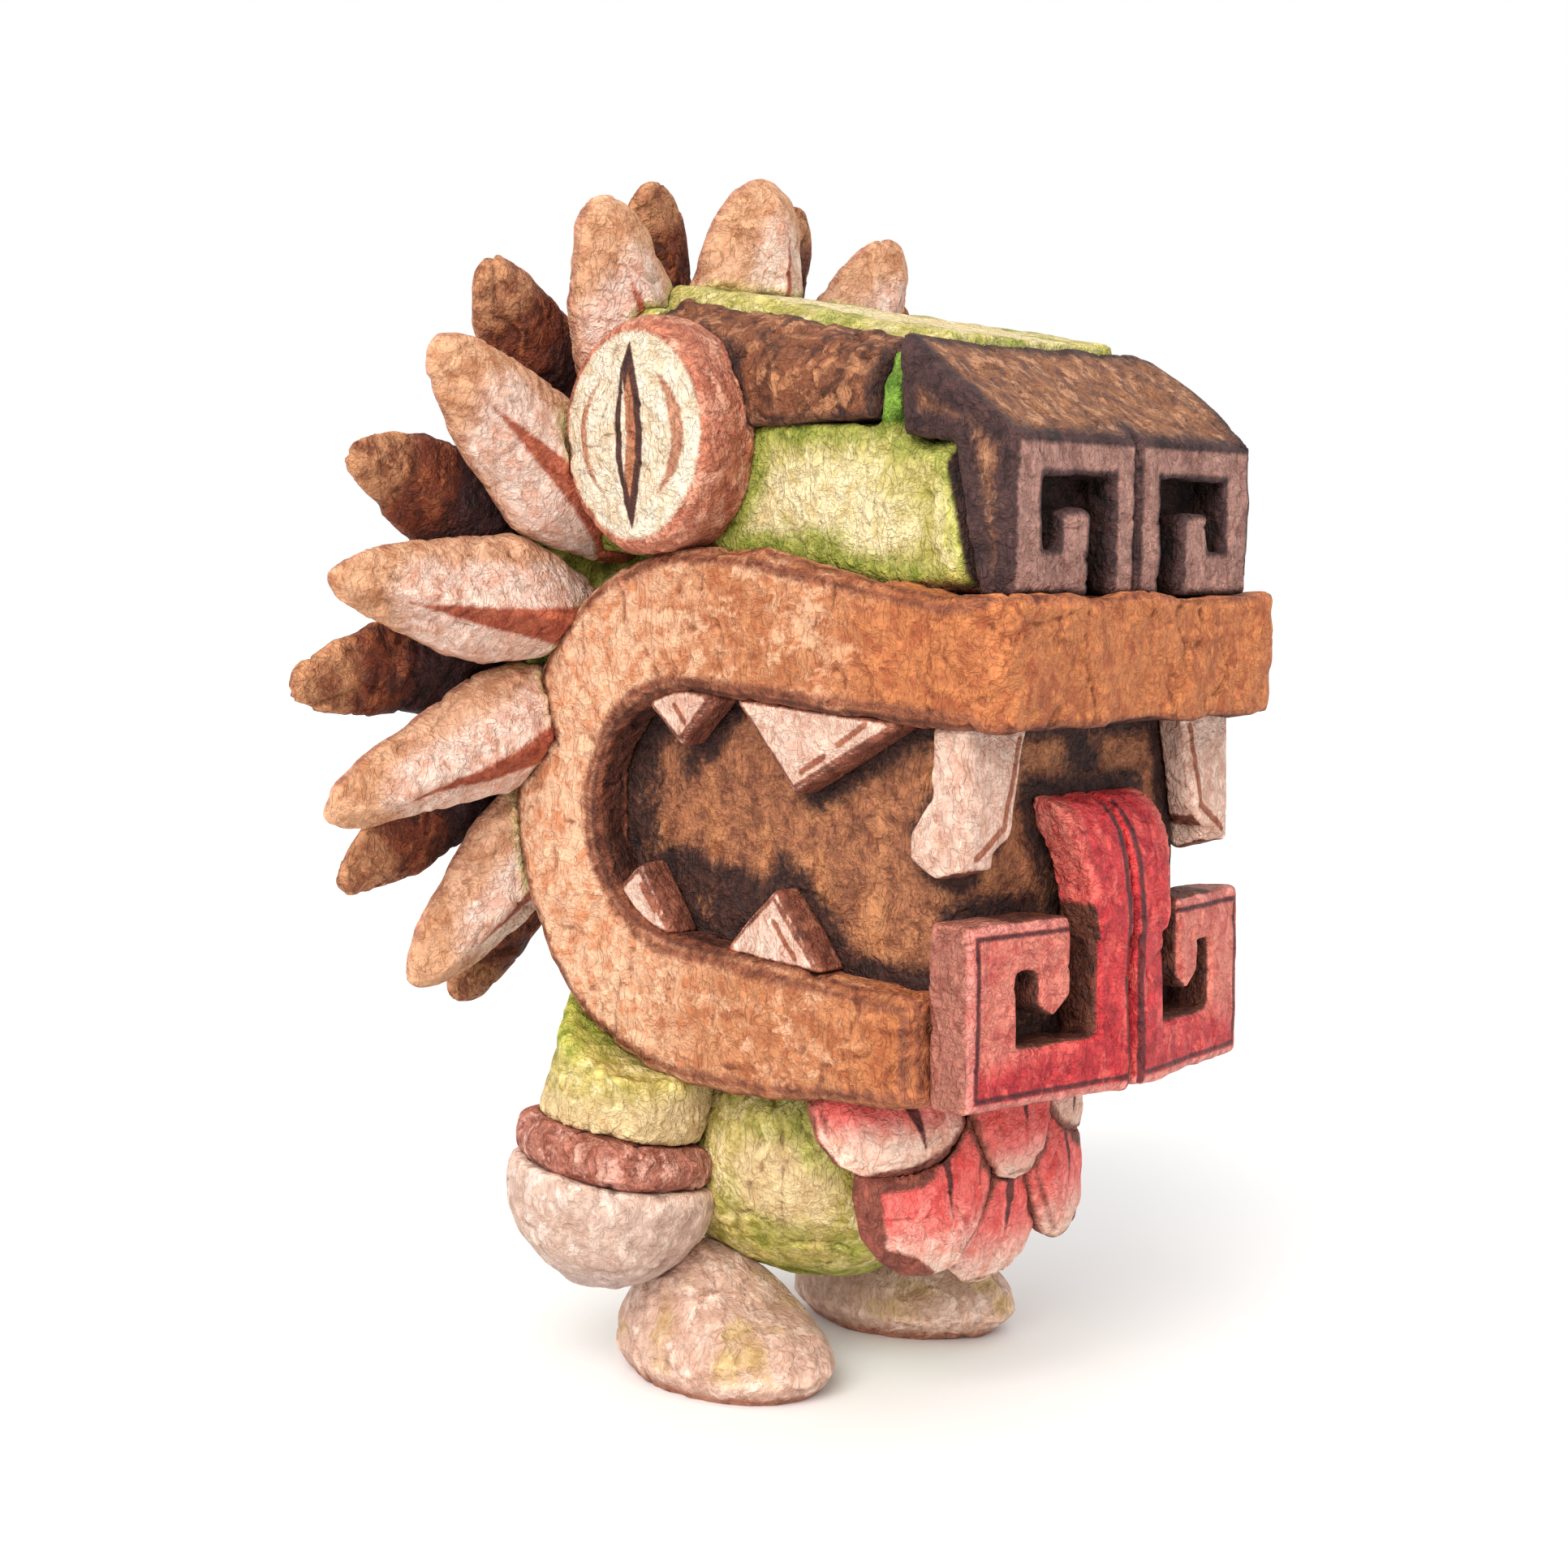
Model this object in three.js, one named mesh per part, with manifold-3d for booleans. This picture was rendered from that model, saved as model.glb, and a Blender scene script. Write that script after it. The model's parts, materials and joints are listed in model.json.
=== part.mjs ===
// A standing figurine of a feathered serpent in painted papier-mache: a long box head with
// a looped mouth band, fret-shaped nose and tongue, and a round ruff of feathers, on a small body.
// Millimetres. +Z is up, the face looks along -Y, and the figure's own left side is at +X.
// The origin is the middle of the foot plane, under the middle of the bounding box.
import * as THREE from "three";
import { mergeVertices } from "three/addons/utils/BufferGeometryUtils.js";
import Module from "manifold-3d";

const wasm = await Module();
wasm.setup();

// ---- Driving dimensions ----
const GAP = 0.3; // glue line between neighbouring pieces
const FINE = 0.05; // how far a face may move when a cut solid is cleaned up

// Head, as half widths (X) and places along Y and Z.
const WALL_X = 26; // inner walls of the mouth
const LIP_X = 33; // over the lips
const CHEEK_X = 27.5;
const LIP_FRONT = -59.5;
const WALL_FRONT = -48.5;
const LIP_BOTTOM = 95;
const LIP_TOP = 111.5;
const NOSE_FRONT = -57;
const NOSE_X = 26.6;
const NOSE_BOTTOM = LIP_TOP + GAP;
const NOSE_TOP = 132;

// The mouth band's loop, seen from the side: two ellipses about nearly the same centre.
const LOOP = { y: -8, z: 81.5, outerY: 36, outerZ: 36.5, innerY: 17.4, innerZ: 17.2, shift: 2 };

// The ruff: a ring of feathers that leans forward, so that its top is over the cheeks.
const RUFF = { y: 27.7, z: 107.7, lean: THREE.MathUtils.degToRad(13.5), hub: 33.5 };
const FEATHER_STEP = 28; // degrees between two light feathers, and between two dark ones
const LIGHT_FEATHERS = 5; // on each side of the top one
const DARK_FEATHERS = 6; // on each side
// Each feather runs between two radii of the ring. Its thick edge line is at depth middle, and its
// ridge stands front before that line and rear behind it. The feathers at the sides are longer, less
// wide and narrower at their blunt tips than those at the top and bottom.
const LIGHT = {
  from: 20, knee: 38, tip: 67, longer: 3.5, halfWidth: 10, wider: 2.6, middle: 4.2, front: 8.8, rear: 5,
};
const DARK = {
  from: 20, knee: 40, tip: 65, longer: 3.5, halfWidth: 9.8, wider: 0, middle: -5.4, front: 5, rear: 4,
};
const NARROWER = { top: 0.28, side: 0.58 }; // by how much of its width, at its tip

const EYE = { y: -0.8, z: 133, radiusY: 13.6, radiusZ: 15.1, face: 37.5 };

const TORSO = { y: -5, z: 34, x: 25, depth: 27, height: 22 };
const PEG = { y: -6, radius: 4, bottom: 30, top: 78 };
const FOOT = { x: 20, y: -1.5, halfWidth: 12.6, halfLength: 19, turn: 0.1 };

// ---- Materials ----
const paint = (color, roughness = 0.85) =>
  new THREE.MeshStandardMaterial({ color, roughness, metalness: 0 });
const COLOURS = {
  band: paint(0xb8734a),
  brow: paint(0x7a4a32),
  nose: paint(0x8a5f58),
  core: paint(0xa9b060),
  tooth: paint(0xe6d6c0),
  eye: paint(0xe9e0cc),
  tongue: paint(0xc63a44),
  light: paint(0xdcb6a0),
  dark: paint(0x5e3626),
  body: paint(0xb0b468),
  cuff: paint(0x7d4a3a),
  hand: paint(0xd9cbbd),
  foot: paint(0xd8bfae),
  petal: paint(0xe0706a),
  peg: paint(0xb8935f),
};

// ---- Solids ----
function solidOf(geometry) {
  const bare = new THREE.BufferGeometry();
  const source = geometry.index ? geometry.toNonIndexed() : geometry;
  bare.setAttribute("position", source.getAttribute("position"));
  const merged = mergeVertices(bare, 1e-4);
  return new wasm.Manifold(
    new wasm.Mesh({
      numProp: 3,
      vertProperties: new Float32Array(merged.attributes.position.array),
      triVerts: new Uint32Array(merged.index.array),
    }),
  );
}

function geometryOf(solid) {
  const mesh = solid.getMesh();
  return new THREE.BufferGeometry()
    .setAttribute("position", new THREE.BufferAttribute(mesh.vertProperties, 3))
    .setIndex(new THREE.BufferAttribute(mesh.triVerts, 1));
}

// The solid and its copies moved a gap each way along X, Y and Z, to cut its neighbours with.
const grownSolids = new Map();

function grown(solid) {
  if (!grownSolids.has(solid)) {
    const moves = [0, 1, 2].flatMap((axis) =>
      [GAP, -GAP].map((d) => [0, 1, 2].map((k) => (k === axis ? d : 0))),
    );
    const copies = moves.map((move) => solid.translate(move));
    const sum = wasm.Manifold.union([solid, ...copies]).simplify(FINE);
    copies.forEach((copy) => copy.delete());
    grownSolids.set(solid, sum);
  }
  return grownSolids.get(solid);
}

// What is left of a solid once its neighbours and the glue line are taken off it, without crumbs.
function cut(solid, ...tools) {
  return largest(wasm.Manifold.difference([solid, ...tools.map(grown)]).simplify(FINE));
}

function largest(solid) {
  const pieces = solid.decompose();
  const most = pieces.reduce((a, b) => (b.volume() > a.volume() ? b : a));
  [solid, ...pieces].filter((piece) => piece !== most).forEach((piece) => piece.delete());
  return most;
}

const joined = (...solids) => wasm.Manifold.union(solids);
const mirrored = (solid) => solid.mirror([1, 0, 0]);

function polygon(points) {
  return new THREE.Shape(points.map(([a, b]) => new THREE.Vector2(a, b)));
}

// A plate cut from a shape, with its edges eased by bevel, inside the shape's own outline.
function plate(shape, depth, bevel = 0, curveSegments = 6) {
  return new THREE.ExtrudeGeometry(shape, {
    depth: depth - 2 * bevel,
    curveSegments,
    bevelEnabled: bevel > 0,
    bevelThickness: bevel,
    bevelSize: bevel,
    bevelOffset: -bevel,
    bevelSegments: 1,
  }).translate(0, 0, bevel);
}

// Shape X and Y become Y and Z, and the plate runs from x0 to x1.
function sidePlate(shape, x0, x1, bevel = 0, curveSegments = 6) {
  const turn = new THREE.Matrix4().set(0, 0, 1, x0, 1, 0, 0, 0, 0, 1, 0, 0, 0, 0, 0, 1);
  return solidOf(plate(shape, x1 - x0, bevel, curveSegments).applyMatrix4(turn));
}

// Shape X and Y become X and Z, and the plate runs forward from y = back to y = front.
function frontPlate(shape, back, front, bevel = 0, curveSegments = 6) {
  return solidOf(
    plate(shape, back - front, bevel, curveSegments).rotateX(Math.PI / 2).translate(0, back, 0),
  );
}

// Shape X and Y stay X and Y, and the plate runs up from z0 to z1.
function floorPlate(shape, z0, z1, bevel = 0, curveSegments = 6) {
  return solidOf(plate(shape, z1 - z0, bevel, curveSegments).translate(0, 0, z0));
}

// A sphere's points moved by a rule: the rule gets a unit point and changes it in place.
function shaped(around, along, rule) {
  const geometry = new THREE.SphereGeometry(1, around, along);
  const position = geometry.getAttribute("position");
  const p = new THREE.Vector3();
  for (let i = 0; i < position.count; i++) {
    p.fromBufferAttribute(position, i);
    rule(p);
    position.setXYZ(i, p.x, p.y, p.z);
  }
  return geometry;
}

function ellipsoid(centre, radii, around = 16, along = 10) {
  return solidOf(
    new THREE.SphereGeometry(1, around, along)
      .rotateX(Math.PI / 2)
      .scale(...radii)
      .translate(...centre),
  );
}

// ---- The mouth ----
// The band's outer edge from the side, from the front of the upper lip round to the lower one.
function loopOutline(front, inset = 0) {
  const s = new THREE.Shape();
  s.moveTo(front, LIP_TOP - inset);
  s.lineTo(-51, LIP_TOP - inset);
  s.bezierCurveTo(
    -38, 113.4 - inset, -22, LOOP.z + LOOP.outerZ - inset, LOOP.y, LOOP.z + LOOP.outerZ - inset,
  );
  s.absellipse(
    LOOP.y, LOOP.z, LOOP.outerY - inset, LOOP.outerZ - inset, Math.PI / 2, -Math.PI / 2, true,
  );
  s.quadraticCurveTo(-28, 44.4 + inset, -46.5, 47 + inset);
  return s;
}

// A rounded U seen from above, from y = back forward, with its walls between two half widths.
function lipPlan(back) {
  const r = 6.5;
  const inner = { x: WALL_X + GAP, y: WALL_FRONT - GAP };
  const s = new THREE.Shape();
  s.moveTo(LIP_X, back);
  s.lineTo(inner.x, back);
  s.lineTo(inner.x, inner.y + 5);
  s.quadraticCurveTo(inner.x, inner.y, inner.x - 5, inner.y);
  s.lineTo(-inner.x + 5, inner.y);
  s.quadraticCurveTo(-inner.x, inner.y, -inner.x, inner.y + 5);
  s.lineTo(-inner.x, back);
  s.lineTo(-LIP_X, back);
  s.lineTo(-LIP_X, LIP_FRONT + r);
  s.quadraticCurveTo(-LIP_X, LIP_FRONT, -LIP_X + r, LIP_FRONT);
  s.lineTo(LIP_X - r, LIP_FRONT);
  s.quadraticCurveTo(LIP_X, LIP_FRONT, LIP_X, LIP_FRONT + r);
  return s;
}

function mouthBand() {
  const side = loopOutline(LIP_FRONT - 2);
  side.lineTo(-46.5, 60.5);
  side.lineTo(LOOP.y + LOOP.shift, LOOP.z - LOOP.innerZ);
  side.absellipse(
    LOOP.y + LOOP.shift, LOOP.z, LOOP.innerY, LOOP.innerZ, -Math.PI / 2, Math.PI / 2, false,
  );
  side.lineTo(-44, LIP_BOTTOM + 0.6);
  side.lineTo(LIP_FRONT - 2, LIP_BOTTOM);
  const across = sidePlate(side, -LIP_X, LIP_X, 1.4, 12);
  return across.intersect(floorPlate(lipPlan(30), 40, 120, 0, 5));
}

// ---- The nose: a block with a pair of square scrolls standing out of its face ----
function nosePocket() {
  // The space inside one scroll, from its mouth beside the middle bar round to its blind end.
  return polygon([
    [5.2, NOSE_BOTTOM - 1], [5.2, 127], [21, 127], [21, 117.4],
    [16.8, 117.4], [16.8, 122.4], [10.8, 122.4], [10.8, NOSE_BOTTOM - 1],
  ]);
}

function noseBlock() {
  const side = polygon([
    [-40.5, 145], [-40.5, 132], [-48.5, 131], [-53, NOSE_BOTTOM],
    [NOSE_FRONT, NOSE_BOTTOM], [NOSE_FRONT - 0.5, NOSE_TOP - 0.5], [NOSE_FRONT + 1.6, NOSE_TOP + 1.4],
  ]);
  const half = { rear: 28.6, front: NOSE_X };
  const plan = polygon([
    [-half.rear, -40.2], [-half.rear, -49], [-half.front, NOSE_FRONT - 0.6],
    [half.front, NOSE_FRONT - 0.6], [half.rear, -49], [half.rear, -40.2],
  ]);
  const depth = 5.5;
  const block = sidePlate(side, -half.rear, half.rear, 0.8).intersect(
    floorPlate(plan, NOSE_BOTTOM - 1, 150),
  );
  const pocket = frontPlate(nosePocket(), NOSE_FRONT + depth, NOSE_FRONT - 2);
  const groove = frontPlate(
    polygon([[-0.6, 100], [0.6, 100], [0.6, 150], [-0.6, 150]]), NOSE_FRONT + 1, NOSE_FRONT - 2,
  );
  return block.subtract(pocket).subtract(mirrored(pocket)).subtract(groove);
}

// ---- Brows: bars along the head's upper corners, from the eye to the nose ----
function browBar(back, front, inset) {
  const section = polygon([
    [20.5, 134.3], [29.3 - inset, 134.3], [29.7 - inset, 139.6], [26.6 - inset, 144.4 - inset],
    [20.5, 146.8 - inset],
  ]);
  const rise = 0.19; // the head's top climbs towards the back
  const bar = plate(section, back - front, 0.6).rotateX(Math.PI / 2).translate(0, back, 0);
  const position = bar.getAttribute("position");
  for (let i = 0; i < position.count; i++) {
    const z = position.getZ(i);
    const share = Math.max(0, (z - 134.3) / 12.5);
    position.setZ(i, z + share * rise * (position.getY(i) + 27));
  }
  return solidOf(bar);
}

// ---- The head's core, which everything on the head is glued to ----
function ruffMatrix() {
  return new THREE.Matrix4()
    .makeRotationX(RUFF.lean)
    .setPosition(0, RUFF.y, RUFF.z);
}

function headCore(brows, nose) {
  const jaw = loopOutline(-60, 1.6);
  jaw.lineTo(-60, 48.6);
  const planShape = new THREE.Shape();
  planShape.moveTo(WALL_X, 40);
  planShape.lineTo(-WALL_X, 40);
  planShape.lineTo(-WALL_X, WALL_FRONT + 7);
  planShape.quadraticCurveTo(-WALL_X, WALL_FRONT, -WALL_X + 7, WALL_FRONT);
  planShape.lineTo(WALL_X - 7, WALL_FRONT);
  planShape.quadraticCurveTo(WALL_X, WALL_FRONT, WALL_X, WALL_FRONT + 7);
  const mouth = sidePlate(jaw, -40, 40, 0, 12).intersect(floorPlate(planShape, 40, 120));
  const chin = floorPlate(
    polygon([[-29, -46.9], [-29, -47.3], [0, -50.4], [29, -47.3], [29, -46.9], [20, -44], [-20, -44]]),
    47, 68.4,
  );
  const cheeks = sidePlate(
    polygon([
      [-52.4, LIP_TOP + 0.6], [-40.2, LIP_TOP + 0.6], [20, 118.4], [24, 128], [9, 151.6],
      [-40.2, 142.6], [-40.2, 131.6], [-48.1, 130.6],
    ]),
    -CHEEK_X, CHEEK_X, 2,
  );
  const crown = sidePlate(
    polygon([[-40.2, 136], [-40.2, 145.7], [10, 155.4], [20, 136]]), -20.1, 20.1, 2.2,
  );
  // A narrow saddle shows between each brow and the nose.
  const saddle = browBar(-34, -40.4, 0.8);
  const hub = new THREE.CylinderGeometry(RUFF.hub, RUFF.hub, 9, 36);
  const hubSolid = solidOf(hub.applyMatrix4(ruffMatrix()));
  const dome = solidOf(
    new THREE.SphereGeometry(1, 24, 14).scale(RUFF.hub - 1, 17, RUFF.hub - 1).applyMatrix4(ruffMatrix()),
  );
  const behind = dome.trimByPlane([0, Math.cos(RUFF.lean), Math.sin(RUFF.lean)],
    RUFF.y * Math.cos(RUFF.lean) + RUFF.z * Math.sin(RUFF.lean));
  const link = ellipsoid([0, 20, 96], [25.5, 15, 31], 20, 12);
  const socket = solidOf(
    new THREE.CylinderGeometry(PEG.radius + GAP, PEG.radius + GAP, PEG.top + GAP - 40, 20)
      .rotateX(Math.PI / 2)
      .translate(0, PEG.y, (PEG.top + GAP + 40) / 2),
  );
  const whole = joined(mouth, chin, cheeks, crown, saddle, mirrored(saddle), hubSolid, behind, link);
  const above = brows.map((brow) => brow.translate(0, 0, 2)); // so nothing thin is left over a brow
  return largest(cut(whole, ...brows, ...above, nose).subtract(socket));
}

// ---- Teeth ----
const TEETH = {
  upper_rear_tooth: [[4.6, 99.5], [-12.2, 99.5], [-4.4, 91]],
  upper_front_tooth: [[-13, 99.5], [-45, 96.5], [-25, 85.6]],
  lower_rear_tooth: [[9.5, 69.5], [3.4, 74.4], [-4, 63]],
  lower_front_tooth: [[-10.7, 62], [-21.6, 72.6], [-32.2, 59.5]],
};

function tooth(points, band) {
  const shape = polygon(THREE.ShapeUtils.area(points.map(([a, b]) => new THREE.Vector2(a, b))) > 0
    ? points : [...points].reverse());
  return cut(sidePlate(shape, WALL_X + GAP, 31.6, 0.7), band);
}

// A fang wraps the mouth's front corner, and its point hooks backwards on the side.
function fang(band, core) {
  const side = polygon([
    [-52.5, 96], [-47.6, 96], [-47.4, 86.5], [-43.6, 81.6], [-43.4, 78.2], [-47.6, 75.8], [-52.5, 77.2],
  ]);
  const front = polygon([[17.6, 96], [30, 96], [30, 76.8], [27.6, 77], [21, 81]]);
  return cut(
    joined(sidePlate(side, WALL_X - 2, 30.4, 0.6), frontPlate(front, -47.4, -52.8, 0.6)), band, core,
  );
}

// ---- Tongue: half of it is a strip out of the mouth that ends in a square scroll ----
function tongue(core) {
  const scroll = polygon([
    [1, 71], [1, 46.4], [31.2, 46.4], [31.2, 70.4], [12.2, 70.4], [12.2, 60], [15.4, 57.6], [18.6, 59.4],
    [18.6, 63.8], [22.2, 63.8], [22.2, 54], [7.6, 54], [7.6, 71],
  ]);
  const bow = Math.atan2(4, 30);
  const bowed = frontPlate(scroll, -50.9, -58, 0.7)
    .translate([0, 56, 0])
    .rotate([0, 0, THREE.MathUtils.radToDeg(bow)])
    .translate([0, -56, 0]);
  // The strip out of the mouth, from the side, narrowing from the throat to the scroll.
  const strip = new THREE.Shape();
  strip.moveTo(-49, 80.6);
  strip.quadraticCurveTo(-51.3, 79, -51.4, 67);
  strip.lineTo(-57.8, 67);
  strip.quadraticCurveTo(-57.8, 85, -49, 85.2);
  const taper = polygon([[0.8, 66], [7.6, 66], [11.4, 86], [0.8, 86]]);
  const throat = sidePlate(strip, 0.8, 12, 0, 6).intersect(frontPlate(taper, -40, -60));
  return cut(joined(bowed, throat), core);
}

function eye(core, brows, band) {
  const round = new THREE.LatheGeometry(
    [[0, 28], [15.2, 28], [15.2, 34.6], [14.2, 36.6], [9, 37.4], [0, EYE.face]].map(
      ([a, b]) => new THREE.Vector2(a, b),
    ), 28,
  );
  round.rotateZ(-Math.PI / 2).scale(1, EYE.radiusY / 14.5, EYE.radiusZ / 14.5);
  return cut(solidOf(round.translate(0, EYE.y, EYE.z)), core, ...brows, band);
}

// ---- Feathers ----
// A feather grows along +Z from the ring's centre, with its ridge to -Y. It is a leaf with a
// blunt tip and a roof-shaped face: widest near the root, where its neighbours leave little room.
function feather(kind, degrees) {
  const sideways = Math.abs(Math.sin(THREE.MathUtils.degToRad(degrees)));
  const tip = kind.tip + kind.longer * sideways;
  const narrower = THREE.MathUtils.lerp(NARROWER.top, NARROWER.side, sideways);
  const room = Math.tan(THREE.MathUtils.degToRad(FEATHER_STEP / 2));
  return shaped(12, 10, (p) => {
    const s = THREE.MathUtils.clamp((1 + p.y) / 2, 0, 1); // the sphere's poles are the two ends
    const radius = kind.from + (tip - kind.from) * (1 - Math.pow(1 - s, 1.25));
    const along = (radius - kind.from) / (tip - kind.from);
    const past = Math.max(0, (radius - kind.knee) / (tip - kind.knee));
    const taper = (1 - narrower * past) * Math.sqrt(Math.max(0, 1 - Math.pow(past, 6)));
    const start = Math.min(1, Math.sqrt(along * 6));
    const half = kind.halfWidth + kind.wider * (1 - sideways);
    const width = Math.min(half * taper, radius * room - 0.25) * start;
    const around = Math.atan2(p.z, p.x);
    const across = Math.cos(around);
    const front = Math.sin(around) > 0;
    const roof = 1 - Math.abs(across);
    const edge = Math.sqrt(Math.max(0, 1 - across * across));
    const thick = (front ? kind.front : kind.rear) * taper * start;
    const bulge = (front ? 1 : -1) * thick * (0.62 * roof + 0.38 * Math.pow(edge, 0.5));
    p.set(Math.sign(across) * Math.pow(Math.abs(across), 0.8) * width,
      -(kind.middle * (1 - 0.35 * along) + bulge), radius);
  });
}

// ---- Body ----
function torsoSolid(core, band) {
  const belly = solidOf(
    shaped(24, 14, (p) => {
      const [x, y, z] = [p.x, -p.z, p.y];
      const lean = 3.5 * z; // the belly carries forward towards the top
      p.set(TORSO.x * x, TORSO.y + TORSO.depth * y - lean, TORSO.z + TORSO.height * z);
    }),
  );
  const nape = ellipsoid([0, 12, 46], [19, 14, 16], 18, 10);
  const socket = solidOf(
    new THREE.CylinderGeometry(PEG.radius + GAP, PEG.radius + GAP, 60, 20)
      .rotateX(Math.PI / 2)
      .translate(0, PEG.y, PEG.bottom - GAP + 30),
  );
  return largest(cut(joined(belly, nape), core, band).subtract(socket));
}

// The wrist is a point on the arm's slanted axis. The arm ends in it, and the cuff and hand follow.
const WRIST = { at: [31, 8.5, 33.6], tilt: 0.13, roll: -0.14 };
const ARM = { radiusTop: 10.6, radiusWrist: 11.6, length: 20, shoulder: [24, 12, 49.5] };
const CUFF = { radius: 14.2, thick: 6 };
const HAND = { radius: 14.6, long: 14.6, down: 5.4 };

// Puts a solid built about the wrist, with the arm along +Z, in its place on the figure.
function atWrist(geometry) {
  return solidOf(
    geometry.rotateX(WRIST.tilt).rotateY(WRIST.roll).translate(...WRIST.at),
  );
}

function cuffSolid() {
  const half = CUFF.thick / 2;
  const rim = [[0, -half], [12.6, -half], [13.8, -half * 0.6], [CUFF.radius, 0], [13.8, half * 0.6],
    [12.6, half], [0, half]];
  return atWrist(
    new THREE.LatheGeometry(rim.map(([a, b]) => new THREE.Vector2(a, b)), 24).rotateX(Math.PI / 2),
  );
}

function armSolid() {
  const tube = atWrist(
    new THREE.CylinderGeometry(ARM.radiusTop, ARM.radiusWrist, ARM.length, 20)
      .translate(0, ARM.length / 2 + CUFF.thick / 2 + GAP, 0)
      .rotateX(Math.PI / 2),
  );
  const jaw = loopOutline(-60, -2 * GAP);
  jaw.lineTo(-60, 47);
  const underJaw = sidePlate(jaw, 0, 60, 0, 12);
  return joined(tube, ellipsoid(ARM.shoulder, [11, 11, 10.5], 16, 10)).subtract(underJaw);
}

function handSolid() {
  const half = CUFF.thick / 2 + GAP;
  const ball = new THREE.SphereGeometry(1, 20, 10)
    .rotateX(Math.PI / 2)
    .scale(HAND.radius, HAND.radius, HAND.long)
    .translate(0, 0, -HAND.down);
  const above = new THREE.BoxGeometry(60, 60, 60).translate(0, 0, 30 - half);
  return atWrist(ball).subtract(atWrist(above));
}

function foot() {
  return solidOf(
    shaped(20, 12, (p) => {
      const [x, y, z] = [p.x, -p.z, p.y];
      const heel = THREE.MathUtils.smoothstep(y, -0.55, 0.35);
      const top = THREE.MathUtils.lerp(9, 17, heel);
      const lift = z > 0 ? z * top : 0;
      const flat = z > 0 ? 1 : THREE.MathUtils.lerp(1, 0.93, Math.min(1, -z * 4));
      const sole = z > 0 ? 3.4 + lift : 3.4 * Math.max(0, 1 + z * 2.2);
      p.set(FOOT.halfWidth * x * flat, FOOT.halfLength * y * flat, sole);
    })
      .rotateZ(FOOT.turn)
      .translate(FOOT.x, FOOT.y, 0),
  );
}

// ---- Breast feathers: thick leaves laid over each other like scales ----
// Each has the middle of its face, its half width and half length, how far it turns to the side,
// how far its point lifts off the body, and how far its point leans outward.
const PETALS = {
  breast_feather_top_middle: { at: [0, -35.6, 41.6], half: [9.4, 11], swing: 0, tip: 0.1, out: 0 },
  breast_feather_top: { at: [17.6, -29.8, 43.2], half: [12, 10.6], swing: 0.5, tip: 0.22, out: 0 },
  breast_feather_middle: { at: [13.6, -32.6, 33], half: [10.8, 14], swing: 0.38, tip: 0.02, out: 0.3 },
  breast_feather_bottom: { at: [0, -32.6, 28.4], half: [12.4, 13.2], swing: 0, tip: -0.16, out: 0 },
};

function petal({ at, half, swing, tip, out }) {
  const leaf = shaped(14, 8, (p) => {
    const wide = p.y < 0 ? Math.sqrt(Math.max(0, 1 - p.y * p.y)) : Math.pow(1 - p.y * p.y, 0.3);
    const around = Math.hypot(p.x, p.z) > 1e-6 ? Math.atan2(p.z, p.x) : 0;
    const deep = 4.2;
    p.set(half[0] * wide * Math.cos(around), -deep * wide * Math.sin(around), half[1] * p.y);
  });
  leaf.rotateY(-out).rotateX(-0.12 - tip).rotateZ(swing * 0.9).translate(...at);
  return solidOf(leaf);
}

// ---- Assembly ----
const figure = new THREE.Group();

function add(parent, name, geometry, material) {
  const mesh = new THREE.Mesh(geometry, material);
  mesh.name = name;
  parent.add(mesh);
  return mesh;
}

const band = mouthBand();
const nose = noseBlock();
const browLeft = browBar(5, -36.8, 0);
const brows = [browLeft, mirrored(browLeft)];
const core = headCore(brows, nose);
const eyeLeft = eye(core, brows, band);
const eyes = [eyeLeft, mirrored(eyeLeft)];
add(figure, "head_core", geometryOf(core), COLOURS.core);
add(figure, "mouth_band", geometryOf(cut(band, core)), COLOURS.band);
add(figure, "nose_block", geometryOf(nose), COLOURS.nose);

const torso = torsoSolid(core, band);
const cuff = cut(cuffSolid(), torso);
const arm = cut(armSolid(), core, torso);
const hand = cut(handSolid(), torso);
const footSolid = cut(foot(), torso, hand);
const petals = {};
petals.breast_feather_top = petal(PETALS.breast_feather_top);
petals.breast_feather_middle = petal(PETALS.breast_feather_middle);
petals.breast_feather_top_middle = petal(PETALS.breast_feather_top_middle);
petals.breast_feather_bottom = petal(PETALS.breast_feather_bottom);
const body = [torso, band, core];
const upper = cut(petals.breast_feather_top, ...body);
const middleWhole = cut(petals.breast_feather_middle, ...body, upper);
const middle = middleWhole.trimByPlane([1, 0, 0], GAP / 2);
const topMiddle = cut(
  petals.breast_feather_top_middle, ...body, upper, mirrored(upper), middle, mirrored(middle),
);
const bottom = cut(petals.breast_feather_bottom, ...body, middle, mirrored(middle), topMiddle);

// One side of the figure, built at +X. The right side is the same, mirrored.
function side(label) {
  const group = new THREE.Group();
  const put = (name, solid, material) =>
    add(group, `${name}_${label}`, geometryOf(solid), material);
  put("brow", browLeft, COLOURS.brow);
  put("eye", eyeLeft, COLOURS.eye);
  for (const [name, points] of Object.entries(TEETH)) put(name, tooth(points, band), COLOURS.tooth);
  put("fang", fang(band, core), COLOURS.tooth);
  put("tongue", cut(tongue(core), band), COLOURS.tongue);
  put("arm", arm, COLOURS.body);
  put("cuff", cuff, COLOURS.cuff);
  put("hand", hand, COLOURS.hand);
  put("foot", footSolid, COLOURS.foot);
  put("breast_feather_top", upper, COLOURS.petal);
  put("breast_feather_middle", middle, COLOURS.petal);
  if (label === "right") group.scale.x = -1;
  return group;
}
figure.add(side("left"), side("right"));
add(figure, "torso", geometryOf(torso), COLOURS.body);
add(figure, "breast_feather_top_middle", geometryOf(topMiddle), COLOURS.petal);
add(figure, "breast_feather_bottom", geometryOf(bottom), COLOURS.petal);

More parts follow.
